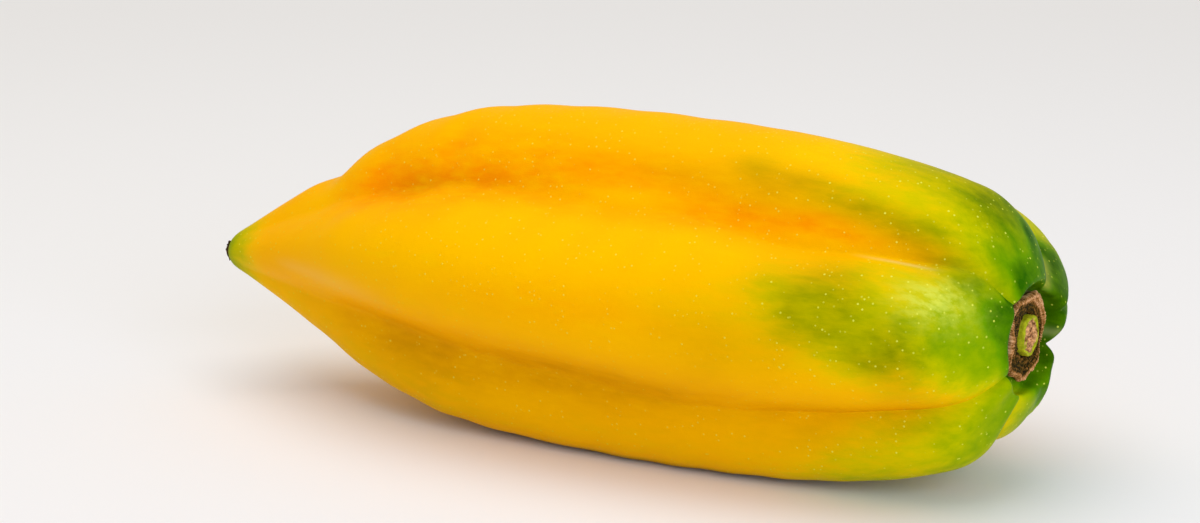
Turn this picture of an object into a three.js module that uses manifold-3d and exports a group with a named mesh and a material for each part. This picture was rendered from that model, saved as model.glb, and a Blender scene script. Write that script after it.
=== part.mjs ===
// A babaco fruit lying on its side: one five-lobed berry, the corky scar of its calyx round a short green
// stump of stalk in the hollow at the stem end, and the dried remains of the blossom on the pointed end.
// Millimetres, +Z up. +X runs along the fruit from the blossom end to the stem end, and -Y is its front.
import * as THREE from "three";
import { ParametricGeometry } from "three/addons/geometries/ParametricGeometry.js";
import { mergeVertices } from "three/addons/utils/BufferGeometryUtils.js";
import Module from "manifold-3d";

// Where the axis of the fruit runs. Stations are measured along it from the blossom end.
const MID_STATION = 132.05; // the station above the origin
const AXIS_SIDE = -1.43; // how far behind the origin the straight part of the axis lies
const AXIS_HEIGHT = 46.9; // how high the axis lies above the table

// The five furrows, as angles in degrees from straight up towards the front, at mid length. Each wanders
// slowly to one side and back along the fruit, and may turn aside at the stem end.
const FURROWS = [-28, 45, 120, 178, 250];
const SWING = [-2.5, 4, 4, -2, 1];
const SWING_CENTRE = 125; // the station where a furrow crosses its mean angle
const SWING_LENGTH = 262;
const SWING_FADE = 60; // the swing fades out from this station to the blossom end
const END_TURN = [-18, 0, 0, -17, 0];
const TURN_START = [240, 240, 240, 248, 240];
const TURN_LENGTH = 13;
const FRONT_BEND = { furrow: 1, station: 187, length: 35, wave: 84, turn: 4 }; // a short double bend

// The lobes between them: top, front, bottom front, bottom back and top back.
const LOBE_SIZE = [0.975, 1, 1.005, 0.995, 1.1];
const END_PULL = [0.5, 3, 3, -0.3, -0.6]; // how far each lobe stops short at the stem end
const ROLL_START = 236; // the lobes begin to stop short here
const ROLL_END = 262;
const CREASE_START = 100; // furrows are soft valleys up to this station, then sharpen into creases
const CREASE_END = 262;
const CREASE_FLOOR = 0.0016; // rounds the very bottom of a furrow
const VALLEY_POWER = 0.75; // the sine's power across a lobe where furrows are soft
const CREASE_POWER = 0.25; // and where they are sharp

// The outline of the fruit along a lobe's crest and along a furrow, each as [station, radius].
const CREST = [
  [1.2, 0],
  [1.2, 3],
  [3, 5.4],
  [9, 8.9],
  [20, 15.3],
  [38, 25.8],
  [60, 38.2],
  [88, 48],
  [125, 52],
  [168, 52],
  [207, 49.5],
  [240, 43],
  [254, 34],
  [264, 18],
  [258.5, 13.4],
  [258.5, 0],
];
const FURROW = [
  [1.2, 0],
  [1.2, 3],
  [3, 5.2],
  [9, 8.2],
  [20, 13.1],
  [38, 20.9],
  [60, 29.2],
  [88, 37],
  [125, 41.5],
  [168, 43],
  [205, 38.6],
  [234, 33],
  [251, 27.5],
  [259.3, 16],
  [258.5, 13.2],
  [258.5, 0],
];
const SHOULDER = { station: 40, length: 7, depth: 2.4 }; // the waist before the top lobe's shoulder
const NOSE = { station: 110, down: 6.5, front: 8.6 }; // the blossom end bends down and forward from here
// The scar is not quite central on the stem end, and the stalk is not quite central in the scar.
const SCAR_SHIFT = { front: 3, inner: 14, outer: 34 };
const STALK_SHIFT = { back: 2.4, inner: 7, outer: 12 };
const SHIFT_START = 240;
const SHIFT_END = 256;

// Swellings and hollows of the flesh, as [height, station, angle, half length, half width].
const SWELLINGS = [
  [-1.3, 76, 41, 8, 6],
  [-0.9, 88, 24, 5, 9],
  [-0.7, 62, 26, 5, 7],
  [-0.8, 116, 36, 10, 6],
  [-0.8, 148, 33, 18, 5],
  [-0.8, 192, 44, 26, 5],
  [-1.7, 74, 120, 24, 9],
  [-1, 145, 115, 40, 10],
  [2.6, 254, 160, 7, 12],
  [2.6, 252, 296, 9, 8],
  [-1.2, 248, 336, 8, 9],
];
// The front furrow runs out shallow at the stem end and meets the scar level with it.
const RUN_OUT = { height: 3.2, station: 254, length: 9, angle: 46, above: 10, below: 2.2 };
const RUN_OUT_LIP = { height: 1.7, angle: 40, width: 15, from: 12.9, full: 14, fall: 15, end: 20 };
// Pinches beside the scar, as [depth, angle, half width]: a fold, and swellings next to it.
const PINCHES = [
  [1.3, 280.5, 3],
  [-0.9, 264, 9],
  [-0.4, 287, 4],
  [-1.3, 240, 9],
];
const NOTCH = { lobe: 3, depth: 1.5, from: 206, to: 211 }; // the bottom back lobe stops short up to here
const END_FACE = 240; // the station where the rounded stem end begins
const HOLLOW = 13.5; // the radius of the hollow round the scar, where the lobes end
const PINCHED = 17; // pinches are at full depth from this radius out
const ROLLED = 19; // and the stop at the end of each lobe from this one

// The calyx scar: a shallow corky cup with a five-sided rim, round the stub.
const SCAR_FLOOR = 258.8;
const SCAR_RIM = 261.9;
const SCAR_GROOVE = 260.1;
const SCAR_HOLE = 6.5;
const SCAR_OUTER = 13.2;
const SCAR_FLATNESS = 0.12; // how much nearer the sides of the pentagon are than its corners
// Where its rim is drawn in or reaches out, as [reach, angle, half width].
const SCAR_REACH = [
  [-2, 188, 24],
  [-1.9, 240, 24],
  [0.9, 292, 26],
];

// The stub of the stalk.
const STUB_RADIUS = 6;
const STUB_TOP = 261.5;
const STUB_FLATNESS = 0.09;

// The dried remains of the blossom.
const REMNANT_BASE = 0.9;
const REMNANT_RADIUS = 3;
const REMNANT_LENGTH = 1.6;
const REMNANT_RAGGED = 0.16;

const STEPS_PER_LOBE = 20;
const ROWS_PER_SPAN = 4;
const LOBES = FURROWS.length;

const wasm = await Module();
wasm.setup();

const { clamp, degToRad, euclideanModulo, lerp, radToDeg, smoothstep } = THREE.MathUtils;

// A bell curve, 1 in the middle and 1/e at one half width from it.
const bell = (distance, halfWidth) => Math.exp(-((distance / halfWidth) ** 2));

// The shorter way round from one angle to another, in degrees.
const turnFrom = (from, to) => euclideanModulo(to - from + 180, 360) - 180;

// The angle of furrow k at a station. Furrow LOBES is furrow 0 again, one turn on.
function furrowAngle(k, station) {
  const i = k % LOBES;
  const wave = Math.sin((2 * Math.PI * (station - SWING_CENTRE)) / SWING_LENGTH);
  let degrees = FURROWS[i] + SWING[i] * wave * clamp(station / SWING_FADE, 0, 1);
  degrees += END_TURN[i] * smoothstep(station, TURN_START[i], TURN_START[i] + TURN_LENGTH);
  if (i === FRONT_BEND.furrow) {
    const past = station - FRONT_BEND.station;
    const bend = Math.sin((2 * Math.PI * past) / FRONT_BEND.wave);
    degrees += FRONT_BEND.turn * bend * bell(past, FRONT_BEND.length);
  }
  return degToRad(degrees + (k === LOBES ? 360 : 0));
}

// The angle at a place across a lobe, from 0 at one furrow to 1 at the next.
function angleAcross(lobe, across, station) {
  return lerp(furrowAngle(lobe, station), furrowAngle(lobe + 1, station), across);
}

// A point at a station and a radius, at an angle from straight up towards the front.
function place(station, radius, angle, target) {
  const bend = clamp(1 - station / NOSE.station, 0, 1) ** 2;
  const forward = SCAR_SHIFT.front * (1 - smoothstep(radius, SCAR_SHIFT.inner, SCAR_SHIFT.outer));
  const back = STALK_SHIFT.back * (1 - smoothstep(radius, STALK_SHIFT.inner, STALK_SHIFT.outer));
  const shift = (forward - back) * smoothstep(station, SHIFT_START, SHIFT_END);
  target.set(
    station - MID_STATION,
    AXIS_SIDE - radius * Math.sin(angle) - NOSE.front * bend - shift,
    AXIS_HEIGHT + radius * Math.cos(angle) - NOSE.down * bend,
  );
}

// A closed surface round the axis with the fruit's five lobes. outline(along, lobe, across) gives the station,
// radius and angle, where across runs from 0 at one furrow, through 0.5 at the crest, to 1 at the next furrow.
function lobedGeometry(outline, stepsAlong) {
  function surface(around, along, target) {
    const turns = around * LOBES;
    const lobe = Math.min(Math.floor(turns + 1e-9), LOBES - 1);
    const across = clamp(turns - lobe, 0, 1);
    const { station, radius, angle } = outline(along, lobe, across);
    place(station, radius, angle, target);
  }
  return new ParametricGeometry(surface, LOBES * STEPS_PER_LOBE, stepsAlong);
}

// The triangles of a geometry as a manifold solid, with the shared corners merged and the collapsed
// triangles at the poles left out.
function solidOf(geometry) {
  geometry.deleteAttribute("normal");
  geometry.deleteAttribute("uv");
  const merged = mergeVertices(geometry, 1e-3);
  const corners = [];
  for (let i = 0; i < merged.index.count; i += 3) {
    const [a, b, c] = merged.index.array.slice(i, i + 3);
    if (a !== b && b !== c && c !== a) corners.push(a, b, c);
  }
  return new wasm.Manifold(
    new wasm.Mesh({
      numProp: 3,
      vertProperties: merged.attributes.position.array,
      triVerts: new Uint32Array(corners),
    }),
  );
}

function meshOf(solid, name, material) {
  const { vertProperties, triVerts } = solid.getMesh();
  const geometry = new THREE.BufferGeometry();
  geometry.setAttribute("position", new THREE.BufferAttribute(vertProperties, 3));
  geometry.setIndex(new THREE.BufferAttribute(triVerts, 1));
  geometry.computeVertexNormals();
  const mesh = new THREE.Mesh(geometry, material);
  mesh.name = name;
  return mesh;
}

function material(color, roughness) {
  return new THREE.MeshStandardMaterial({ color, roughness, metalness: 0 });
}

// The berry. Its crest and furrow outlines are blended across each lobe: the blend rises as a power of the
// sine, which is a soft valley at mid length and a sharp crease between full lobes at the stem end. The
// swellings then move the surface outwards, and the pinches move the stem end along the axis.
const crest = new THREE.SplineCurve(CREST.map((p) => new THREE.Vector2(...p)));
const furrow = new THREE.SplineCurve(FURROW.map((p) => new THREE.Vector2(...p)));

function fruitOutline(along, lobe, across) {
  const top = crest.getPoint(along);
  const low = furrow.getPoint(along);
  const crease = clamp((top.x - CREASE_START) / (CREASE_END - CREASE_START), 0, 1) ** 2;
  const swell = Math.sin(Math.PI * across) ** 2;
  const blend = (swell + CREASE_FLOOR) ** lerp(VALLEY_POWER, CREASE_POWER, crease);
  let { x: station, y: radius } = low.lerp(top, blend);
  const onPole = radius < 1e-3;
  radius *= 1 + (LOBE_SIZE[lobe] - 1) * swell;
  if (lobe === 0) radius -= SHOULDER.depth * swell * bell(station - SHOULDER.station, SHOULDER.length);
  const rolled = smoothstep(station, ROLL_START, ROLL_END) * smoothstep(radius, HOLLOW, ROLLED);
  station -= END_PULL[lobe] * swell * rolled;

  const angle = angleAcross(lobe, across, station);
  const degrees = radToDeg(angle);
  if (onPole) return { station, radius: 0, angle };
  for (const [height, at, atAngle, halfLength, halfWidth] of SWELLINGS) {
    const aside = degToRad(turnFrom(atAngle, degrees)) * radius;
    radius += height * bell(station - at, halfLength) * bell(aside, halfWidth);
  }
  if (station > END_FACE) {
    const aside = degToRad(turnFrom(RUN_OUT.angle, degrees)) * radius;
    const halfWidth = aside < 0 ? RUN_OUT.above : RUN_OUT.below;
    radius += RUN_OUT.height * bell(station - RUN_OUT.station, RUN_OUT.length) * bell(aside, halfWidth);
    const { height, angle: middle, width, from, full, fall, end } = RUN_OUT_LIP;
    const lip = smoothstep(radius, from, full) * (1 - smoothstep(radius, fall, end));
    station += height * lip * bell(turnFrom(middle, degrees), width);
    let pinch = lobe === NOTCH.lobe ? NOTCH.depth * (1 - smoothstep(degrees, NOTCH.from, NOTCH.to)) : 0;
    for (const [depth, at, halfTurn] of PINCHES) pinch += depth * bell(turnFrom(at, degrees), halfTurn);
    station -= pinch * smoothstep(radius, HOLLOW, PINCHED);
  }
  return { station, radius, angle };
}

const whole = solidOf(lobedGeometry(fruitOutline, (CREST.length - 1) * ROWS_PER_SPAN));
// The lowest crests are pressed flat where the fruit rests.
const table = new THREE.BoxGeometry(400, 200, 20).translate(0, 0, -10);
const fruit = meshOf(whole.subtract(solidOf(table)), "fruit", material("#f2b200", 0.42));

// A ring or a cap on the axis: a section of [station, radius] points, five-sided by its flatness, with its
// radius changed by reach(degrees) where it is a rim.
function fiveSided(points, flatness, reach = () => 0) {
  return (along, lobe, across) => {
    const at = along * (points.length - 1);
    const i = Math.min(Math.floor(at + 1e-9), points.length - 2);
    const [station, radius] = [0, 1].map((axis) => lerp(points[i][axis], points[i + 1][axis], at - i));
    const angle = angleAcross(lobe, across, SCAR_FLOOR);
    const side = flatness(radius) * Math.sin(Math.PI * across) ** 2;
    return { station, radius: radius * (1 - side) + reach(radius, radToDeg(angle)), angle };
  };
}

// The scar's section runs round the ring and closes on itself. Only its outer half is a pentagon.
const scarSection = [
  [SCAR_FLOOR, SCAR_HOLE],
  [SCAR_FLOOR, SCAR_OUTER - 0.5],
  [SCAR_RIM - 1.5, SCAR_OUTER],
  [SCAR_RIM - 0.4, SCAR_OUTER - 0.1],
  [SCAR_RIM, SCAR_OUTER - 0.9],
  [SCAR_RIM - 0.6, SCAR_HOLE + 4.3],
  [SCAR_GROOVE + 0.3, SCAR_HOLE + 2],
  [SCAR_GROOVE, SCAR_HOLE],
  [SCAR_FLOOR, SCAR_HOLE],
];
const rimShare = (radius) => smoothstep(radius, SCAR_HOLE, SCAR_OUTER - 0.7);
function scarReach(radius, degrees) {
  let sum = 0;
  for (const [reach, atAngle, width] of SCAR_REACH) sum += reach * bell(turnFrom(atAngle, degrees), width);
  return sum * rimShare(radius);
}
const scarShape = fiveSided(scarSection, (radius) => SCAR_FLATNESS * rimShare(radius), scarReach);
const calyxScar = meshOf(
  solidOf(lobedGeometry(scarShape, scarSection.length - 1)),
  "calyx_scar",
  material("#a87050", 0.9),
);

// The stub has a rounded edge and a broken face that sinks a little round its corky core.
const stubSection = [
  [SCAR_FLOOR, 0],
  [SCAR_FLOOR, STUB_RADIUS],
  [STUB_TOP - 0.6, STUB_RADIUS],
  [STUB_TOP, STUB_RADIUS - 0.7],
  [STUB_TOP - 0.4, STUB_RADIUS - 1.4],
  [STUB_TOP - 0.2, STUB_RADIUS - 2.6],
  [STUB_TOP - 0.2, 0],
];
const stemStub = meshOf(
  solidOf(lobedGeometry(fiveSided(stubSection, () => STUB_FLATNESS), stubSection.length - 1)),
  "stem_stub",
  material("#9fb83a", 0.7),
);

// The remnant is a thin cap with a ragged edge and a blunt point.
const remnantSection = [
  [REMNANT_BASE - REMNANT_LENGTH, 0],
  [REMNANT_BASE - REMNANT_LENGTH, 0.8],
  [REMNANT_BASE - 1, REMNANT_RADIUS - 1],
  [REMNANT_BASE - 0.5, REMNANT_RADIUS],
  [REMNANT_BASE, REMNANT_RADIUS - 0.1],
  [REMNANT_BASE, 0],
];
const styleRemnant = meshOf(
  solidOf(lobedGeometry(fiveSided(remnantSection, () => REMNANT_RAGGED), remnantSection.length - 1)),
  "style_remnant",
  material("#43300f", 0.9),
);

const babaco = new THREE.Group();
babaco.add(fruit, calyxScar, stemStub, styleRemnant);

export default babaco;
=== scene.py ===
# A ripe babaco fruit, lying on its side on a pale table in soft studio light.
import bpy
import numpy as np
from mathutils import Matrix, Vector


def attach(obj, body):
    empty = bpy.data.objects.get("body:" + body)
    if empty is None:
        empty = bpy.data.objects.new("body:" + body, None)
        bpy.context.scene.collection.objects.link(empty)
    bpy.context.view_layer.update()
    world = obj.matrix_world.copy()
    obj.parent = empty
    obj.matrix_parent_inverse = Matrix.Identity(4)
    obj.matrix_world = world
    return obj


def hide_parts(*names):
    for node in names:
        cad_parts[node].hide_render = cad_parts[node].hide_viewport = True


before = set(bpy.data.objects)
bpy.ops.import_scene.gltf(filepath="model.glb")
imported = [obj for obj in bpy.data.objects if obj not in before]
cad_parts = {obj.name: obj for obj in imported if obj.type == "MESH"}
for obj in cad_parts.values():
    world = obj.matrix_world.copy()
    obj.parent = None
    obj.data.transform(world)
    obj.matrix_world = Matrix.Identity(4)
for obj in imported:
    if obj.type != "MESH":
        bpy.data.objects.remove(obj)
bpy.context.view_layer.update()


# ---------------------------------------------------------------- Camera
# A long lens a metre away, a little above the fruit and round towards its stem end, so that the whole
# flank, the pointed blossom end and the scar in the hollow are all in view.
CAMERA_AZIMUTH, CAMERA_ELEVATION = np.radians(28.96), np.radians(14.75)
CAMERA_DISTANCE = 1.0
CAMERA_TARGET = Vector((-0.00639, -0.00143, 0.05053))
SENSOR_WIDTH, FOCAL_LENGTH = 36, 102.28  # mm

camera = bpy.data.objects.new("camera", bpy.data.cameras.new("camera"))
bpy.context.scene.collection.objects.link(camera)
towards_camera = Vector((
    np.sin(CAMERA_AZIMUTH) * np.cos(CAMERA_ELEVATION),
    -np.cos(CAMERA_AZIMUTH) * np.cos(CAMERA_ELEVATION),
    np.sin(CAMERA_ELEVATION),
))
camera.location = CAMERA_TARGET + towards_camera * CAMERA_DISTANCE
camera.rotation_mode = "QUATERNION"
camera.rotation_quaternion = (-towards_camera).to_track_quat("-Z", "Y")
camera.data.sensor_width = SENSOR_WIDTH
camera.data.lens = FOCAL_LENGTH
bpy.context.scene.camera = camera


# ---------------------------------------------------------------- The berry
# One large berry that grew from five fused carpels, so five rounded lobes run its whole length with a furrow
# between each two. The skin is thin, smooth and waxy, ripened to gold, and still green round the stalk.

# Sizes are in mm and degrees, and the outlines are those of the CAD part. Stations run along the axis from
# the blossom end, and angles from straight up, towards the front. A furrow has the same number as the lobe
# after it, and there is a fifth lobe, the upper back one.
LOBES = 5
TOP, FRONT, LOWER_FRONT, LOWER_BACK = range(LOBES - 1)
MID_STATION, AXIS_SIDE, AXIS_HEIGHT = 132.05, -1.43, 46.9  # where the axis runs
FURROWS = np.array([-28, 45, 120, 178, 250])
SWING = np.array([-2.5, 4, 4, -2, 1])  # how far each furrow wanders to one side and back
SWING_CENTRE, SWING_LENGTH, SWING_FADE = 125, 262, 60
BEND_TURN, BEND_STATION, BEND_WAVE, BEND_LENGTH = 4, 187, 84, 35  # the double bend in the front furrow
END_TURN = np.array([-18, 0, 0, -17, 0])  # how far each furrow turns aside at the stem end,
TURN_START = np.array([240, 240, 240, 248, 240])  # from this station on,
TURN_LENGTH = 13  # over this length
NOSE_START, NOSE_DOWN, NOSE_FORWARD = 110, 6.5, 8.6  # the bend of the blossom end
SCAR_FORWARD, SCAR_REACH = 3, (14, 34)  # how far the middle is moved, and the radii where that fades out
STALK_BACK, STALK_REACH = 2.4, (7, 12)
SHIFT_START, SHIFT_END = 240, 256  # the stations between which that sets in
LOBE_SIZE = np.array([0.975, 1, 1.005, 0.995, 1.1])
END_PULL = np.array([0.5, 3, 3, -0.3, -0.6])  # how far each lobe stops short at the stem end
ROLL_START, ROLL_END = 236, 262
END_FACE = 240  # the station where the rounded stem end begins
HOLLOW = 13.5  # the radius of the hollow round the scar, where the lobes end,
ROLLED, PINCHED = 19, 17  # and those from which the pull and the pinches there are full
CREASE_START, CREASE_END = 100, 262  # furrows are soft valleys up to the first, then sharpen into creases
CREASE_FLOOR = 0.0016  # rounds the very bottom of a furrow
VALLEY_POWER, CREASE_POWER = 0.75, 0.25
SHOULDER_STATION, SHOULDER_LENGTH, SHOULDER_DEPTH = 40, 7, 2.4  # the waist before the top lobe's shoulder
CREST = np.array([  # station and radius along the crest of a lobe
    (1.2, 0), (1.2, 3), (3, 5.4), (9, 8.9), (20, 15.3), (38, 25.8), (60, 38.2), (88, 48),
    (125, 52), (168, 52), (207, 49.5), (240, 43), (254, 34), (264, 18), (258.5, 13.4), (258.5, 0),
], float)
FURROW = np.array([  # and along a furrow
    (1.2, 0), (1.2, 3), (3, 5.2), (9, 8.2), (20, 13.1), (38, 20.9), (60, 29.2), (88, 37),
    (125, 41.5), (168, 43), (205, 38.6), (234, 33), (251, 27.5), (259.3, 16), (258.5, 13.2), (258.5, 0),
], float)
ROWS, PER_LOBE = 300, 62
FIRST_ROW, LAST_ROW = 0.4, 4  # how far the end rows stay from the ends of the outline
CROWDING = 0.6  # how much closer the columns stand in the furrows
LUMP, DIMPLE = 0.45, 0.1  # the depth of the swellings and of the finer dimples


def spline(points, t):
    """Catmull-Rom spline through points, with t from 0 to 1 over all of them: each span is a cubic whose
    slope at a point is half the step between that point's two neighbours."""
    last = len(points) - 1
    at = np.clip(t, 0, 1) * last
    i = at.astype(int)
    w = (at - i)[..., None]
    before, start = points[np.maximum(i - 1, 0)], points[i]
    end, after = points[np.minimum(i + 1, last)], points[np.minimum(i + 2, last)]
    a, b = (end - before) / 2, (after - start) / 2
    return (2 * start - 2 * end + a + b) * w**3 + (3 * end - 3 * start - 2 * a - b) * w**2 + a * w + start


def smooth(x, low, high):
    """A smoothstep from 0 at low to 1 at high."""
    x = np.clip((x - low) / (high - low), 0, 1)
    return x * x * (3 - 2 * x)


def fade(x, low, high):
    """A smoothstep from 1 at low to 0 at high."""
    return 1 - smooth(x, low, high)


def bell(distance, half_width):
    """A bell curve: exp(-(distance / half width)**2)."""
    return np.exp(-((distance / half_width) ** 2))


def furrow_angle(k, station):
    """The angle of furrow k: its mean angle, plus a slow sine along the fruit that fades in over the nose,
    plus a short double bend in the front furrow, plus a turn aside at the stem end."""
    i = k % LOBES
    swing = np.sin(2 * np.pi * (station - SWING_CENTRE) / SWING_LENGTH) * np.clip(station / SWING_FADE, 0, 1)
    past = station - BEND_STATION
    bend = BEND_TURN * (i == FRONT) * np.sin(2 * np.pi * past / BEND_WAVE) * bell(past, BEND_LENGTH)
    turn = END_TURN[i] * smooth(station, TURN_START[i], TURN_START[i] + TURN_LENGTH)
    return np.radians(FURROWS[i] + 360 * (k // LOBES) + SWING[i] * swing + bend + turn)


def place(station, radius, angle):
    """Cylinder coordinates about the axis, in metres. A parabola bends the blossom end down and forward. The
    middle of the stem end is moved forward, the stalk itself a little less, as neither is quite central."""
    bend = np.clip(1 - station / NOSE_START, 0, 1) ** 2
    forward = SCAR_FORWARD * fade(radius, *SCAR_REACH) - STALK_BACK * fade(radius, *STALK_REACH)
    moved = smooth(station, SHIFT_START, SHIFT_END) * forward
    return np.stack([
        station - MID_STATION,
        AXIS_SIDE - radius * np.sin(angle) - NOSE_FORWARD * bend - moved,
        AXIS_HEIGHT + radius * np.cos(angle) - NOSE_DOWN * bend,
    ], -1) / 1000


def around_lobes(per_lobe):
    """Lobe number and position across it, 0 to 1, for one turn. Position is the step less a sine of it, so
    the columns crowd towards the furrows."""
    step = np.arange(per_lobe) / per_lobe
    across = step - CROWDING * np.sin(2 * np.pi * step) / (2 * np.pi)
    return np.repeat(np.arange(LOBES), per_lobe), np.tile(across, LOBES)


def angle_round(lobe, across, station):
    """The angle at a place across a lobe: a straight blend of the angles of the two furrows beside it."""
    start, end = furrow_angle(lobe, station), furrow_angle(lobe + 1, station)
    return start + (end - start) * across


def closed_mesh(name, rings, poles=True):
    """A mesh from rings of points, each ring closed on itself. With poles, the first and last ring close on a
    point at their own mean. Without, the last ring joins the first."""
    rows, columns = rings.shape[:2]
    grid = np.arange(rows * columns).reshape(rows, columns)
    here, along = (grid[:-1], grid[1:]) if poles else (grid, np.roll(grid, -1, 0))
    quads = np.stack([here, np.roll(here, -1, 1), np.roll(along, -1, 1), along], -1).reshape(-1, 4)
    points = rings.reshape(-1, 3)
    faces = quads.tolist()
    if poles:
        first, last = len(points), len(points) + 1
        points = np.vstack([points, rings[0].mean(0), rings[-1].mean(0)])
        start_fan = np.stack([np.full(columns, first), np.roll(grid[0], -1), grid[0]], -1)
        end_fan = np.stack([np.full(columns, last), grid[-1], np.roll(grid[-1], -1)], -1)
        faces += start_fan.tolist() + end_fan.tolist()
    mesh = bpy.data.meshes.new(name)
    mesh.from_pydata(points.tolist(), [], faces)
    mesh.shade_smooth()
    piece = bpy.data.objects.new(name, mesh)
    bpy.context.scene.collection.objects.link(piece)
    return piece


def add_field(piece, name, values):
    """A float attribute on the points of a piece. A pole takes the mean of its ring."""
    flat = values.reshape(-1)
    if len(piece.data.vertices) > len(flat):
        flat = np.concatenate([flat, [values[0].mean(), values[-1].mean()]])
    piece.data.attributes.new(name, "FLOAT", "POINT").data.foreach_set("value", flat.astype(np.float32))


def colour(code):
    """An sRGB hex code as linear RGBA."""
    srgb = np.array([int(code[i:i + 2], 16) for i in (1, 3, 5)]) / 255
    linear = np.where(srgb <= 0.04045, srgb / 12.92, ((srgb + 0.055) / 1.055) ** 2.4)
    return (*linear.tolist(), 1)


def add(tree, kind, inputs=None, give=None, stops=None, **settings):
    """Adds a shader node and returns its output: the one called give, or the first in use. An input is a
    value or an output to link, and a hex code is a colour. Stops are the points of a ramp."""
    node = tree.nodes.new("ShaderNode" + kind)
    for key, value in settings.items():
        setattr(node, key, value)
    for key, value in (inputs or {}).items():
        if isinstance(value, bpy.types.NodeSocket):
            tree.links.new(value, node.inputs[key])
        else:
            node.inputs[key].default_value = colour(value) if isinstance(value, str) else value
    for i, (place_on_ramp, code) in enumerate(stops or []):
        stop = node.color_ramp.elements[i] if i < 2 else node.color_ramp.elements.new(place_on_ramp)
        stop.position, stop.color = place_on_ramp, colour(code)
    in_use = [output for output in node.outputs if output.enabled]
    return node.outputs[give] if give else in_use[0] if in_use else node


def start_material(name):
    """An empty material and its tree."""
    material = bpy.data.materials.new(name)
    material.use_nodes = True
    material.node_tree.nodes.clear()
    return material, material.node_tree


# Rows are spread evenly by length along a crest, from the blossom end into the hollow at the stem.
fine = np.linspace(0, 1, 4000)
crest_line = spline(CREST, fine)
crest_length = np.concatenate([[0], np.cumsum(np.hypot(*np.diff(crest_line, axis=0).T))])
length = np.linspace(FIRST_ROW, crest_length[-1] - LAST_ROW, ROWS)[:, None]
t = np.interp(length, crest_length, fine)
lobe, across = around_lobes(PER_LOBE)

# The section: crest and furrow outlines blended by a power of the sine across the lobe. The power falls
# along the fruit, so soft valleys sharpen into creases.
crest, low = spline(CREST, t), spline(FURROW, t)
crease = np.clip((crest[..., 0] - CREASE_START) / (CREASE_END - CREASE_START), 0, 1) ** 2
swell = np.sin(np.pi * across)[None] ** 2
blend = (swell + CREASE_FLOOR) ** (VALLEY_POWER - (VALLEY_POWER - CREASE_POWER) * crease)
station = low[..., 0] + (crest[..., 0] - low[..., 0]) * blend
radius = low[..., 1] + (crest[..., 1] - low[..., 1]) * blend
radius *= 1 + (LOBE_SIZE[lobe] - 1) * swell
radius -= SHOULDER_DEPTH * (lobe == TOP) * swell * bell(station - SHOULDER_STATION, SHOULDER_LENGTH)
rolled = smooth(station, ROLL_START, ROLL_END) * smooth(radius, HOLLOW, ROLLED)
station = station - END_PULL[lobe] * swell * rolled
angle = angle_round(lobe, across, station)
degrees = np.degrees(angle)


def spots(*rows):
    """The sum of soft spots on the skin. Each row is an amount, a station, an angle in degrees, and a half
    length and half width in mm: amount * exp(-(along / half length)**2 - (aside / half width)**2)."""
    total = np.zeros_like(radius)
    for amount, at_station, at_degrees, half_length, half_width in rows:
        aside = np.radians((degrees - at_degrees + 180) % 360 - 180) * radius
        total += amount * bell(station - at_station, half_length) * bell(aside, half_width)
    return total


def band(centre, half_width):
    """A soft band along the fruit: exp(-(turn / half width)**2), both in degrees."""
    return bell(degrees - centre, half_width)


FULL_TURN = 6.3  # radians, rounded up
random = np.random.default_rng(5)  # one stream of random numbers for all the pieces


def ripples(angle, along, count, turns, slopes, divisor, calm=0):
    """The sum of count random waves over a surface. Each is sin(n * angle + k * along + phase) / (divisor +
    calm * n), where the whole number n and the slope k are drawn from the ranges turns and slopes."""
    total = 0
    for wave in range(count):
        n = random.integers(*turns)
        turned = n * angle + random.uniform(*slopes) * along
        total = total + np.sin(turned + random.uniform(0, FULL_TURN)) / (divisor + calm * n)
    return total


# Slow swellings and hollows, under a millimetre deep, as fruit flesh has, with finer dimples over them.
lumps = ripples(angle, station, 14, (0, 7), (0.02, 0.11), divisor=3, calm=1)
dimples = ripples(angle, station, 30, (3, 18), (0.1, 0.4), divisor=4)
radius += (LUMP * lumps + DIMPLE * dimples) * smooth(station, 5, 60) * fade(length, 285, 300)

# Soft dents along the front furrow and on the shoulder above it, and a deeper, longer hollow in the lower
# furrow.
radius -= spots(
    (0.7, 62, 26, 5, 7), (1.3, 76, 41, 8, 6), (0.9, 88, 24, 5, 9), (0.6, 101, 38, 6, 5),
    (0.8, 116, 36, 10, 6),
)
radius -= spots((0.8, 148, 33, 18, 5), (0.8, 176, 44, 12, 5), (0.8, 208, 43, 18, 5), (-0.5, 152, 44, 12, 4))
radius -= spots((1.7, 74, 120, 24, 9), (1.0, 145, 115, 40, 10))

# The front furrow runs out shallow at the stem end, on the upper lobe's side, and meets the scar level.
RUN_OUT_HEIGHT, RUN_OUT_STATION, RUN_OUT_LENGTH, RUN_OUT_ANGLE = 3.2, 254, 9, 46
RUN_OUT_ABOVE, RUN_OUT_BELOW = 10, 2.2  # its half width above and below the furrow
PER_RADIAN = 57  # degrees, rounded
LIP = 1.7  # how far the upper lobe stands out beside the scar
run_out_width = np.where(degrees < RUN_OUT_ANGLE, RUN_OUT_ABOVE, RUN_OUT_BELOW)
aside = (degrees - RUN_OUT_ANGLE) * radius / PER_RADIAN
radius += RUN_OUT_HEIGHT * bell(station - RUN_OUT_STATION, RUN_OUT_LENGTH) * bell(aside, run_out_width)
lip = LIP * (station > END_FACE) * band(40, 15) * smooth(radius, 12.9, 14) * fade(radius, 15, 20)
station = station + lip
# Near the stem the lower front lobe is fullest at its far side and the upper back lobe at its top, and the
# top lobe falls away a little beside that.
radius += spots((2.6, 254, 160, 7, 12), (2.6, 252, 296, 9, 8), (-1.2, 248, 336, 8, 9))
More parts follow.
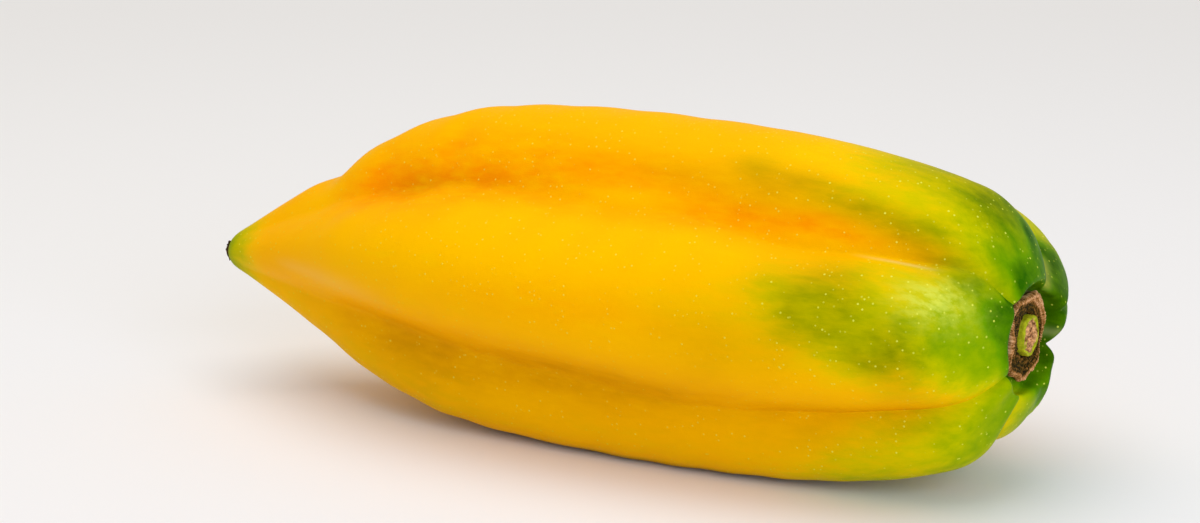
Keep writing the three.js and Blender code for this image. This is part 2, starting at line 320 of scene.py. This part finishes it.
# The two far lobes beside the scar are pinched: each has a fold across it, and swells beside the fold. The
# lower one stops short along its near side as well.
PINCHES = [(1.3, 280.5, 3), (-0.9, 264, 9), (-0.4, 287, 4), (-1.3, 240, 9)]  # depth, angle and half width
NOTCH = 1.5
pinch = sum(depth * band(at, half_width) for depth, at, half_width in PINCHES)
pinch = pinch + NOTCH * (lobe == LOWER_BACK) * fade(degrees, 206, 211)
station = station - (station > END_FACE) * smooth(radius, HOLLOW, PINCHED) * pinch

points = place(station, radius, angle)
# The lowest crests are pressed flat where the fruit rests.
points[..., 2] = np.maximum(points[..., 2], 0)

berry = closed_mesh("berry", points)
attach(berry, "root")
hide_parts("fruit")

# The colours follow fields on the skin, each from 0 to 1. In them smooth and fade are given two stations,
# radii or angles, and band an angle and a half width.

# How unripe the skin is: green creeps back from the stem, soonest along the crests and last in the furrows,
# and the lobes turn dark green where they roll over into the hollow round the scar.
FULLY_GREEN = 0.94
on_end = station > END_FACE
green_centre = np.array([4, 74, 149, 205, 290])[lobe]
green_width = np.array([25, 13, 13, 16, 20])[lobe]
green_width = green_width + 28 * smooth(station, 205, 250) + 20 * smooth(station, 250, 262)
unripe = 0.5 * smooth(station, 172, 232) + 0.3 * smooth(station, 236, 262)
unripe *= bell(degrees - green_centre, green_width)
# The radius at which each lobe turns dark, in the order of the lobes, and wider at one side of most of them.
edge = np.select([lobe == TOP, lobe == FRONT, lobe == LOWER_FRONT, lobe == LOWER_BACK], [
    28 - 9 * smooth(degrees, -14, 4) - 7 * smooth(degrees, 20, 44),
    17 + 6 * smooth(degrees, 48, 60) - 9 * smooth(degrees, 68, 88),
    11,
    11 + 12 * smooth(degrees, 186, 212),
], 25 + 4 * smooth(degrees, 262, 280))
unripe += (FULLY_GREEN - unripe) * fade(radius, edge, edge + 8) * smooth(station, 236, 250)
unripe += spots(
    # The top lobe.
    (0.14, 186, 25, 8, 5), (0.16, 212, 30, 16, 4), (0.1, 240, 34, 10, 3), (0.05, 242, 24, 7, 6),
    (0.06, 250, 2, 8, 12), (-0.07, 251, 13, 6, 6), (-0.08, 254, 29, 5, 5), (0.22, 256, 30, 8, 5),
    # The front lobe.
    (0.08, 176, 80, 12, 5), (0.2, 209, 70, 14, 9), (0.14, 214, 82, 9, 6), (0.05, 228, 84, 8, 5),
    (0.05, 231, 74, 8, 6), (0.1, 232, 84, 14, 8), (0.07, 233, 88, 8, 5), (-0.13, 240, 109, 15, 6),
    (0.2, 251, 50, 8, 5), (0.06, 251, 85, 6, 5), (0.11, 252, 96, 6, 7), (0.06, 252, 100, 5, 5),
    (0.12, 259, 104, 5, 5),
    # The lower front lobe.
    (0.12, 26, 140, 12, 8), (0.15, 45, 146, 40, 9), (0.1, 92, 143, 12, 6), (0.08, 184, 126, 25, 8),
    (0.07, 249, 128, 8, 4),
)
unripe += 0.1 * (band(12, 3.5) + 0.8 * band(-8, 4)) * smooth(station, 232, 246) * fade(station, 256, 262)
# Painted highlight: less green along the flank of the upper back lobe beside the scar.
unripe -= 0.3 * on_end * band(314, 6) * smooth(radius, 15, 18) * fade(radius, 24, 30)
# The very point of the blossom end stays green as well, and so does the underside, which had the least sun.
unripe += 0.6 * fade(station, 2, 22) + 0.1 * fade(station, 1, 6)
unripe += 0.3 * band(186, 27) * smooth(station, 20, 70) * fade(station, 215, 245)
unripe = np.clip(unripe, 0, 1)
add_field(berry, "unripe", unripe)
# Colour wanders most where the skin is turning, and least in the dark green.
add_field(berry, "turning", (0.6 + 0.4 * smooth(unripe, 0, 0.25)) * (1 - 0.65 * smooth(unripe, 0.5, 0.85)))

# Where ripe skin turns from gold to orange: along the furrows, most of all on the upper side of the front
# one, and a little over the lower half. In the furrows, dents and lower half the orange is partly painted
# shade.
along_middle = smooth(station, 30, 60) * fade(station, 190, 250)
orange = np.maximum.reduce([
    0.5 * (1 - swell) ** 1.6 * along_middle * (1 - 0.55 * band(120, 30)),
    0.66 * band(36, 13) * smooth(station, 34, 60) * fade(station, 110, 215),
    0.62 * band(42, 6) * smooth(station, 150, 190) * fade(station, 240, 262),
    0.10 * smooth(degrees, 74, 112) * fade(degrees, 122, 136) * fade(station, 110, 190),
    0.16 * fade(station, 30, 70),
])
orange += spots(
    # Painted shade: deeper orange in the dents along the front furrow.
    (0.2, 62, 26, 5, 7), (0.22, 76, 42, 8, 5), (0.2, 88, 27, 5, 9), (0.2, 101, 38, 6, 4),
    (0.2, 118, 36, 10, 6), (0.18, 150, 34, 18, 4), (-0.35, 150, 43, 14, 3), (0.18, 176, 45, 12, 4),
    (0.18, 205, 44, 22, 3.5),
    # The stem end of the lower furrow, and the front lobe.
    (0.3, 238, 117, 12, 3.5), (0.26, 142, 84, 42, 8),
)
orange -= 0.35 * band(58, 9) * smooth(station, 90, 110)
orange += 0.09 * band(16, 16) * smooth(station, 40, 70) * fade(station, 180, 230)
add_field(berry, "orange", np.clip(orange, 0, 1))

# Olive, bruise-like blotches where the green is going, and painted shade: a darker back to the top lobe by
# the stem, brown in the lower furrow, the underside darker, and the far lobes darkest where they roll over by
# the scar.
olive_and_shade = spots(
    # The top lobe and the front furrow.
    (0.25, 75, 42, 9, 5), (0.3, 95, 40, 30, 4), (0.3, 168, 31, 18, 5), (0.5, 186, 25, 8, 4),
    (0.4, 194, 34, 12, 5), (0.7, 204, 28, 14, 4), (0.85, 222, 33, 14, 4), (0.45, 234, 37, 9, 4),
    (0.7, 243, 40, 10, 8), (0.5, 252, 2, 10, 14),
    # The front lobe.
    (0.3, 186, 88, 16, 14), (0.2, 205, 90, 12, 9), (0.55, 207, 71, 14, 10), (0.45, 214, 82, 9, 6),
    (0.9, 219, 71, 10, 9), (0.25, 224, 62, 16, 8), (0.3, 233, 88, 8, 5), (0.6, 234, 84, 14, 9),
    (0.3, 236, 82, 9, 9), (0.4, 241, 94, 9, 6), (0.3, 242, 106, 10, 8), (0.6, 252, 50, 9, 6),
    # Painted shade: the lower furrow and the lobe below it, darkened.
    (0.3, 78, 123, 24, 7), (0.25, 84, 141, 28, 10), (0.24, 112, 119, 60, 12), (0.35, 145, 116, 40, 9),
    (0.3, 218, 128, 26, 9), (0.3, 240, 127, 10, 3),
    # Painted shade: the far lobes, darkened beside the scar.
    (0.9, 261, 303, 9, 9), (0.9, 261, 243, 7, 9),
)
# Painted shade: the back of the top lobe is darkened near the stem.
olive_and_shade += 0.6 * smooth(station, 200, 232) * fade(degrees, 8, 34) * fade(station, 250, 262) * (lobe == TOP)
# The blossom point is darkened, and painted shade darkens the skin from below the front round to the top
# lobe.
olive_and_shade += 0.4 * fade(station, 6, 18) + 0.15 * smooth(degrees, 106, 124)
# Painted shade: a dark line low down, where the skin curves under towards the table.
height = points[..., 2] * 1000
olive_and_shade += 0.9 * fade(height, 0.5, 3.5)
add_field(berry, "olive_and_shade", np.clip(olive_and_shade, 0, 1))

# Worn wax looks whitish, in a mottled patch on the front lobe by the stem. Painted highlights look whitish
# too: a streak on the side of the nose, a thin line down the front furrow and the flanks of the far lobes.
add_field(berry, "worn", spots((1, 246, 65, 8, 6)))
streak_angle = 89 + 0.16 * (station - 30)
painted_sheen = 0.26 * bell(degrees - streak_angle, 5) * smooth(station, 24, 38) * fade(station, 50, 84)
painted_sheen += 0.7 * band(49.5, 0.9) * smooth(station, 218, 232) * fade(station, 238, 246)
painted_sheen += 0.4 * on_end * band(313, 5) * smooth(radius, 15, 19) * fade(radius, 24, 28)
painted_sheen += 0.35 * on_end * band(262, 4) * fade(radius, 16, 20)
add_field(berry, "painted_sheen", np.clip(painted_sheen, 0, 1))
# Cork creeps a little way out from the scar over the skin.
add_field(berry, "corky", on_end * fade(radius, 12.8, 13.6) * (degrees < 130))

# Fruit skin: a thin waxy cuticle over coloured flesh. The wax gives only a broad, faint shine.
COLOUR_A, COLOUR_B = 6, 7  # the two colours of a Mix node, by the place of their sockets
skin, tree = start_material("waxy_fruit_skin")
coords = add(tree, "TexCoord", give="Object")
along_fruit = add(tree, "Mapping", {"Vector": coords, "Scale": (0.3, 1, 1)})
unripe_field, turning_field, orange_field, olive_and_shade_field, worn_field, painted_sheen_field, corky_field = [
    add(tree, "Attribute", give="Fac", attribute_name=name)
    for name in ("unripe", "turning", "orange", "olive_and_shade", "worn", "painted_sheen", "corky")
]

# Blotches about 12 mm across and streaks about 3 mm wide, both drawn out along the fruit, and strongest where
# the skin is turning.
blotch = add(tree, "TexNoise", {"Vector": along_fruit, "Scale": 80, "Detail": 3, "Roughness": 0.5})
streak = add(tree, "TexNoise", {"Vector": along_fruit, "Scale": 330, "Detail": 3, "Roughness": 0.6})
uneven = add(tree, "Math", {0: blotch, 1: 1.1, 2: streak}, operation="MULTIPLY_ADD")
mottle = add(tree, "MapRange", {
    "Value": uneven, "From Min": 0.65, "From Max": 1.45, "To Min": -0.21, "To Max": 0.13,
})
green_level = add(tree, "Math", {0: mottle, 1: turning_field, 2: unripe_field}, operation="MULTIPLY_ADD")
flesh = add(tree, "ValToRGB", {"Fac": green_level}, stops=[
    (0.0, "#ffbb00"), (1.0, "#2f6400"),
    (0.2, "#f8c400"), (0.4, "#e0c800"), (0.55, "#c8c200"), (0.7, "#a0b000"), (0.85, "#6c9800"),
])
# Orange shows only in ripe skin, in patches.
ripe = add(tree, "MapRange", {
    "Value": unripe_field, "From Min": 0.1, "From Max": 0.45, "To Min": 1.0, "To Max": 0.0,
})
patchy = add(tree, "MapRange", {
    "Value": uneven, "From Min": 0.75, "From Max": 1.35, "To Min": 0.45, "To Max": 1.55,
})
orange_patches = add(tree, "Math", {0: orange_field, 1: patchy}, operation="MULTIPLY")
orange_level = add(tree, "Math", {0: orange_patches, 1: ripe}, operation="MULTIPLY", use_clamp=True)
mild = add(tree, "MapRange", {
    "Value": uneven, "From Min": 0.75, "From Max": 1.35, "To Min": 0.75, "To Max": 1.25,
})
# Olive blotches and painted shade, a little patchy, at just over half strength.
olive_and_shade_patches = add(tree, "Math", {0: olive_and_shade_field, 1: mild}, operation="MULTIPLY")
olive_and_shade_level = add(tree, "Math", {0: olive_and_shade_patches, 1: 0.55}, operation="MULTIPLY", use_clamp=True)
# Worn wax shows as short whitish flecks, 2 mm wide.
flecks = add(tree, "TexNoise", {"Vector": along_fruit, "Scale": 420, "Detail": 4, "Roughness": 0.65})
fleck_share = add(tree, "MapRange", {
    "Value": flecks, "From Min": 0.42, "From Max": 0.6, "To Min": 0.1, "To Max": 0.65,
})
worn_level = add(tree, "Math", {0: fleck_share, 1: worn_field}, operation="MULTIPLY")
# Painted highlights, at under half strength.
painted_sheen_level = add(tree, "Math", {0: painted_sheen_field, 1: 0.42}, operation="MULTIPLY")
# Lenticels: raised pale pores under a millimetre across and about 5 mm apart, plainest in green skin.
cell = {"Vector": coords, "Scale": 460, "Randomness": 1}
pore_distance = add(tree, "TexVoronoi", cell, give="Distance")
pore_tone = add(tree, "TexVoronoi", cell, give="Color")
pore = add(tree, "MapRange", {
    "Value": pore_distance, "From Min": 0.08, "From Max": 0.175, "To Min": 1.0, "To Max": 0.0,
})
pore_strength = add(tree, "MapRange", {
    "Value": pore_tone, "From Min": 0.2, "From Max": 0.8, "To Min": 0.3, "To Max": 1.0,
})
pore_share = add(tree, "MapRange", {"Value": unripe_field, "From Max": 0.35, "To Min": 0.5, "To Max": 0.85})
pore_level = add(tree, "Math", {0: pore, 1: pore_strength}, operation="MULTIPLY")
pore_level = add(tree, "Math", {0: pore_level, 1: pore_share}, operation="MULTIPLY")
ragged_cork = add(tree, "MapRange", {"Value": flecks, "From Min": 0.35, "From Max": 0.65, "To Max": 1.4})
cork_level = add(tree, "Math", {0: ragged_cork, 1: corky_field}, operation="MULTIPLY", use_clamp=True)
for share, tint, way in [
    (orange_level, "#ff9400", "MIX"), (olive_and_shade_level, "#8c8862", "MULTIPLY"), (worn_level, "#e0e056", "MIX"),
    (painted_sheen_level, "#f4da94", "MIX"), (pore_level, "#e8e450", "MIX"), (cork_level, "#8a6844", "MIX"),
]:
    layer = {"Factor": share, COLOUR_A: flesh, COLOUR_B: tint}
    flesh = add(tree, "Mix", layer, data_type="RGBA", blend_type=way)
grain = add(tree, "TexNoise", {"Vector": coords, "Scale": 900, "Detail": 2})
relief = add(tree, "Math", {0: pore, 1: grain}, operation="ADD")
bump = add(tree, "Bump", {"Height": relief, "Strength": 0.15, "Distance": 0.0003})
shader = add(tree, "BsdfPrincipled", {
    "Base Color": flesh, "Roughness": 0.4, "IOR": 1.42,
    "Specular IOR Level": 0.02, "Specular Tint": "#ffc040", "Normal": bump,
})
add(tree, "OutputMaterial", {"Surface": shader})
berry.data.materials.append(skin)


# ---------------------------------------------------------------- The calyx scar
# Cork that grew over the place where the calyx sat, a shallow five-sided cup round the stalk. It is dry and
# fibrous, salmon brown on its rim with radial fibres, and nearly black in the groove at its foot, partly
# painted shade.
RING_SECTION = np.array([  # station and radius, once round
    (258.9, 12.9), (260.4, 13.5), (261.5, 13.3), (261.9, 12.3), (261.5, 11.2), (260.9, 10.2), (260.5, 9.0),
    (260.3, 7.8), (260.1, 6.9), (259.4, 6.4), (258.8, 6.4), (258.7, 9.5), (258.9, 12.9),
], float)
RING_ROWS, RING_PER_LOBE = 72, 90
CORNER_STATION = 252.0  # the corners follow the furrows as they are here
RING_FLATNESS = 0.12  # how much nearer the sides of the pentagon are than its corners
CORNER_DIP = 0.8
RING_REACH = [(-2, 188, 24), (-1.9, 240, 24), (0.9, 292, 26)]  # how far it reaches out, angle, half width

ring_lobe, ring_across = around_lobes(RING_PER_LOBE)
ring_swell = np.sin(np.pi * ring_across)[None] ** 2
ring = spline(RING_SECTION, np.linspace(0, 1, RING_ROWS, endpoint=False)[:, None])
height_in_ring, out_in_ring = ring[..., 0], ring[..., 1]
ring_out = smooth(out_in_ring, 6.8, 12.5)
ring_station = height_in_ring - CORNER_DIP * (1 - ring_swell) * ring_out * smooth(height_in_ring, 259, 261)
ring_radius = out_in_ring * (1 - RING_FLATNESS * ring_swell * ring_out)
ring_angle = angle_round(ring_lobe, ring_across, np.full_like(ring_station, CORNER_STATION))
ring_degrees = np.degrees(ring_angle)
# The ring is drawn in at its foot and reaches furthest at the upper back.
for far, at, half_width in RING_REACH:
    ring_radius += far * ring_out * bell(ring_degrees - at, half_width)
rough = ripples(ring_angle, out_in_ring, 40, (2, 22), (-4, 4), divisor=6)
fibres = ripples(ring_angle, out_in_ring, 80, (50, 220), (-3, 3), divisor=7)
on_top = smooth(height_in_ring, 259.2, 260.2)
ring_station = ring_station + (0.07 * fibres + 0.2 * rough) * on_top
ring_radius = ring_radius + (0.3 * rough + 0.12 * fibres) * smooth(out_in_ring, 11, 12.8)
cork_ring = closed_mesh("cork_ring", place(ring_station, ring_radius, ring_angle), poles=False)
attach(cork_ring, "root")
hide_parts("calyx_scar")
# The salmon band is wide at the back, and narrow beside the front lobe, where more of the ring is painted
# dark as shade.
back = bell((ring_degrees - 310 + 180) % 360 - 180, 70)
from_middle = out_in_ring + 2.4 * back + 0.3 * rough
add_field(cork_ring, "outer", smooth(from_middle, 11.5, 13.1) * on_top)
RIDGE_WIDTH = 1.5  # mm between the ridges round the cup
ridges = np.sin(2 * np.pi * out_in_ring / RIDGE_WIDTH + 1.2 * rough)
add_field(cork_ring, "fibre", 0.8 * fibres + 0.5 * rough + 0.6 * ridges)

# Wound cork: dead corky cells, dry and matt, rough to the touch.
cork, tree = start_material("wound_cork")
coords = add(tree, "TexCoord", give="Object")
outer_field = add(tree, "Attribute", give="Fac", attribute_name="outer")
fibre_field = add(tree, "Attribute", give="Fac", attribute_name="fibre")
# Grit under a millimetre across, between fibres that stand out pale from dark gaps.
speck = add(tree, "TexNoise", {"Vector": coords, "Scale": 1300, "Detail": 4, "Roughness": 0.7})
fibre_tone = add(tree, "MapRange", {
    "Value": fibre_field, "From Min": -1.4, "From Max": 1.4, "To Min": -0.3, "To Max": 0.3,
})
speck_tone = add(tree, "MapRange", {
    "Value": speck, "From Min": 0.3, "From Max": 0.7, "To Min": -0.12, "To Max": 0.42,
})
tone = add(tree, "Math", {0: fibre_tone, 1: speck_tone}, operation="ADD")
level = add(tree, "Math", {0: outer_field, 1: 0.5, 2: tone}, operation="MULTIPLY_ADD", use_clamp=True)
cork_colour = add(tree, "ValToRGB", {"Fac": level}, stops=[
    (0.0, "#241a02"), (1.0, "#f0b078"), (0.2, "#4c3a08"), (0.4, "#805218"), (0.65, "#ba7a3e"),
])
bump = add(tree, "Bump", {"Height": level, "Strength": 0.6, "Distance": 0.0005})
shader = add(tree, "BsdfPrincipled", {
    "Base Color": cork_colour, "Roughness": 0.85, "Specular IOR Level": 0.1, "Normal": bump,
})
add(tree, "OutputMaterial", {"Surface": shader})
cork_ring.data.materials.append(cork)


# ---------------------------------------------------------------- The stump of the stalk
# The last few millimetres of the green stalk, broken off level when the fruit was picked. Its rind is still
# green, and the broken pith in the middle has healed over with salmon-brown cork.
STUB_SECTION = np.array([  # station and radius, from the foot to the middle of the top
    (258.8, 6.0), (260.0, 6.0), (260.9, 6.0), (261.4, 5.8), (261.5, 5.3), (261.3, 4.9), (261.1, 4.6),
    (261.4, 3.4), (261.4, 1.7), (261.35, 0.3),
], float)
STUB_ROWS, STUB_PER_LOBE = 90, 44
STUB_FLATNESS = 0.09
TORN_HEIGHT = 0.3

stub_lobe, stub_across = around_lobes(STUB_PER_LOBE)
stub_swell = np.sin(np.pi * stub_across)[None] ** 2
stub = spline(STUB_SECTION, np.linspace(0, 1, STUB_ROWS)[:, None])
out_in_stub = stub[..., 1]
stub_height = np.broadcast_to(stub[..., 0], (STUB_ROWS, len(stub_lobe)))
stub_angle = angle_round(stub_lobe, stub_across, np.full_like(stub_height, CORNER_STATION))
torn = ripples(stub_angle, out_in_stub, 40, (1, 12), (-5, 5), divisor=6)
pith = fade(out_in_stub + 0.5 * torn, 4.4, 5.2) * smooth(stub_height, 260.8, 261.1)
stub_station = stub_height + TORN_HEIGHT * torn * pith
uneven_rind = 1 + 0.015 * torn * smooth(out_in_stub, 4.5, 5.5)
stub_radius = out_in_stub * (1 - STUB_FLATNESS * stub_swell) * uneven_rind
stalk_stump = closed_mesh("stalk_stump", place(stub_station, stub_radius, stub_angle))
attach(stalk_stump, "root")
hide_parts("stem_stub")
add_field(stalk_stump, "pith", pith)
add_field(stalk_stump, "side", fade(stub_height, 261.0, 261.4))

# Fresh stalk: a green rind with paler specks, brighter down its side than on its edge, and healed pith.
stalk, tree = start_material("fresh_stalk")
coords = add(tree, "TexCoord", give="Object")
pith_field = add(tree, "Attribute", give="Fac", attribute_name="pith")
side_field = add(tree, "Attribute", give="Fac", attribute_name="side")
speck = add(tree, "TexNoise", {"Vector": coords, "Scale": 900, "Detail": 4, "Roughness": 0.6})
rind = add(tree, "ValToRGB", {"Fac": speck}, stops=[(0.3, "#7c8400"), (0.7, "#c4c010")])
side = add(tree, "ValToRGB", {"Fac": speck}, stops=[(0.3, "#9c9800"), (0.7, "#d6d024")])
rind = add(tree, "Mix", {"Factor": side_field, COLOUR_A: rind, COLOUR_B: side}, data_type="RGBA")
healed = add(tree, "ValToRGB", {"Fac": speck}, stops=[(0.36, "#6a3a14"), (0.62, "#f4b070")])
surface = add(tree, "Mix", {"Factor": pith_field, COLOUR_A: rind, COLOUR_B: healed}, data_type="RGBA")
bump = add(tree, "Bump", {"Height": speck, "Strength": 0.5, "Distance": 0.0004})
shader = add(tree, "BsdfPrincipled", {
    "Base Color": surface, "Roughness": 0.65, "Specular IOR Level": 0.1, "Normal": bump,
})
add(tree, "OutputMaterial", {"Surface": shader})
stalk_stump.data.materials.append(stalk)


# ---------------------------------------------------------------- The blossom remnant
# What is left of the style and petals on the pointed end: a thin ragged cap, dried dark brown and brittle.
# It sits over the very tip of the berry.
CAP_SECTION = np.array([  # station and radius, from the point over the rim and back inside
    (-0.2, 0.2), (-0.2, 0.9), (0.0, 2.0), (0.2, 2.7), (0.5, 3.0), (0.9, 2.9), (1.0, 2.5), (0.9, 0.4),
], float)
CAP_ROWS, CAP_COLUMNS = 60, 160
RAGGED_LENGTH, RAGGED_WIDTH = 0.8, 0.16  # in mm, and as a share of the radius

cap_angle = np.linspace(0, 2 * np.pi, CAP_COLUMNS, endpoint=False)[None]
cap = spline(CAP_SECTION, np.linspace(0, 1, CAP_ROWS)[:, None])
cap_reach, cap_out = cap[..., 0], cap[..., 1]
ragged = ripples(cap_angle, cap_reach, 30, (2, 14), (-3, 3), divisor=5)
cap_station = cap_reach + RAGGED_LENGTH * ragged * fade(cap_reach, -0.2, 0.8)
cap_radius = cap_out * (1 + RAGGED_WIDTH * ragged * smooth(cap_out, 0.5, 2.5))
dried_cap = closed_mesh("dried_cap", place(cap_station, cap_radius, cap_angle))
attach(dried_cap, "root")
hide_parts("style_remnant")

# Dried petal: papery and almost black, with paler crumbs under a millimetre across.
dry, tree = start_material("dried_petal")
coords = add(tree, "TexCoord", give="Object")
speck = add(tree, "TexNoise", {"Vector": coords, "Scale": 1500, "Detail": 3})
brown = add(tree, "ValToRGB", {"Fac": speck}, stops=[(0.3, "#1c1002"), (0.72, "#5a3e14")])
bump = add(tree, "Bump", {"Height": speck, "Strength": 0.5, "Distance": 0.0004})
shader = add(tree, "BsdfPrincipled", {
    "Base Color": brown, "Roughness": 0.8, "Specular IOR Level": 0.2, "Normal": bump,
})
add(tree, "OutputMaterial", {"Surface": shader})
dried_cap.data.materials.append(dry)


# ---------------------------------------------------------------- The table
# A matt white surface that runs on past the view in every direction. To the eye it fades into a backdrop of
# its own colour from 0.3 m out, as a studio's curved paper does.
BACKDROP = "#ece8e4"
TABLE_HALF = 4.0
FADE_START, FADE_END = 0.3, 1.5  # metres from the middle of the fruit
table_mesh = bpy.data.meshes.new("table")
corners = [(x * TABLE_HALF, y * TABLE_HALF, 0) for x, y in ((-1, -1), (1, -1), (1, 1), (-1, 1))]
table_mesh.from_pydata(corners, [], [(0, 1, 2, 3)])
table_top = bpy.data.objects.new("table", table_mesh)
bpy.context.scene.collection.objects.link(table_top)
paper, tree = start_material("matt_white_paper")
shader = add(tree, "BsdfPrincipled", {"Base Color": "#f3efeb", "Roughness": 0.9, "Specular IOR Level": 0.1})
coords = add(tree, "TexCoord", give="Object")
from_fruit = add(tree, "VectorMath", {0: coords}, give="Value", operation="LENGTH")
far_out = add(tree, "MapRange", {
    "Value": from_fruit, "From Min": FADE_START, "From Max": FADE_END,
}, interpolation_type="SMOOTHSTEP")
seen = add(tree, "LightPath", give="Is Camera Ray")
faded = add(tree, "Math", {0: far_out, 1: seen}, operation="MULTIPLY")
plain = add(tree, "Emission", {"Color": BACKDROP})
add(tree, "OutputMaterial", {"Surface": add(tree, "MixShader", {0: faded, 1: shader, 2: plain})})
table_top.data.materials.append(paper)


# ---------------------------------------------------------------- Light
# One very large soft box overhead and a large cool one past the stem, in a pale room that fills the shadows:
# warmer behind the blossom end, and cooler towards the stem.
def soft_box(name, location, aim, size, power, tint):
    """A square area lamp at a place, turned to an aim."""
    data = bpy.data.lights.new(name, "AREA")
    data.size, data.energy, data.color = size, power, colour(tint)[:3]
    lamp = bpy.data.objects.new(name, data)
    bpy.context.scene.collection.objects.link(lamp)
    lamp.location = location
    lamp.rotation_mode = "QUATERNION"
    lamp.rotation_quaternion = (Vector(aim) - Vector(location)).to_track_quat("-Z", "Y")


soft_box("overhead", (-0.1, -0.1, 1.3), (0, 0, 0.03), size=1.35, power=9.8, tint="#fffcfa")
soft_box("side", (1.7, -1.2, 0.7), (0.15, 0, 0), size=1.6, power=29, tint="#b6d2ff")
ROOM_STRENGTH = 0.62
room = bpy.data.worlds.new("room")
bpy.context.scene.world = room
room.use_nodes = True
tree = room.node_tree
tree.nodes.clear()
direction = add(tree, "TexCoord", give="Generated")
towards_stem = add(tree, "SeparateXYZ", {"Vector": direction}, give="X")
share = add(tree, "MapRange", {"Value": towards_stem, "From Min": -1.0, "From Max": 1.0})
walls = add(tree, "ValToRGB", {"Fac": share}, stops=[(0.2, "#eee4d4"), (0.8, "#eaf6ff")])
glow = add(tree, "Background", {"Color": walls, "Strength": ROOM_STRENGTH})
# Behind the table the camera sees a plain backdrop of the table's colour.
backdrop = add(tree, "Background", {"Color": BACKDROP, "Strength": 1.0})
seen = add(tree, "LightPath", give="Is Camera Ray")
add(tree, "OutputWorld", {"Surface": add(tree, "MixShader", {0: seen, 1: glow, 2: backdrop})})

bpy.context.scene.view_settings.view_transform = "Standard"
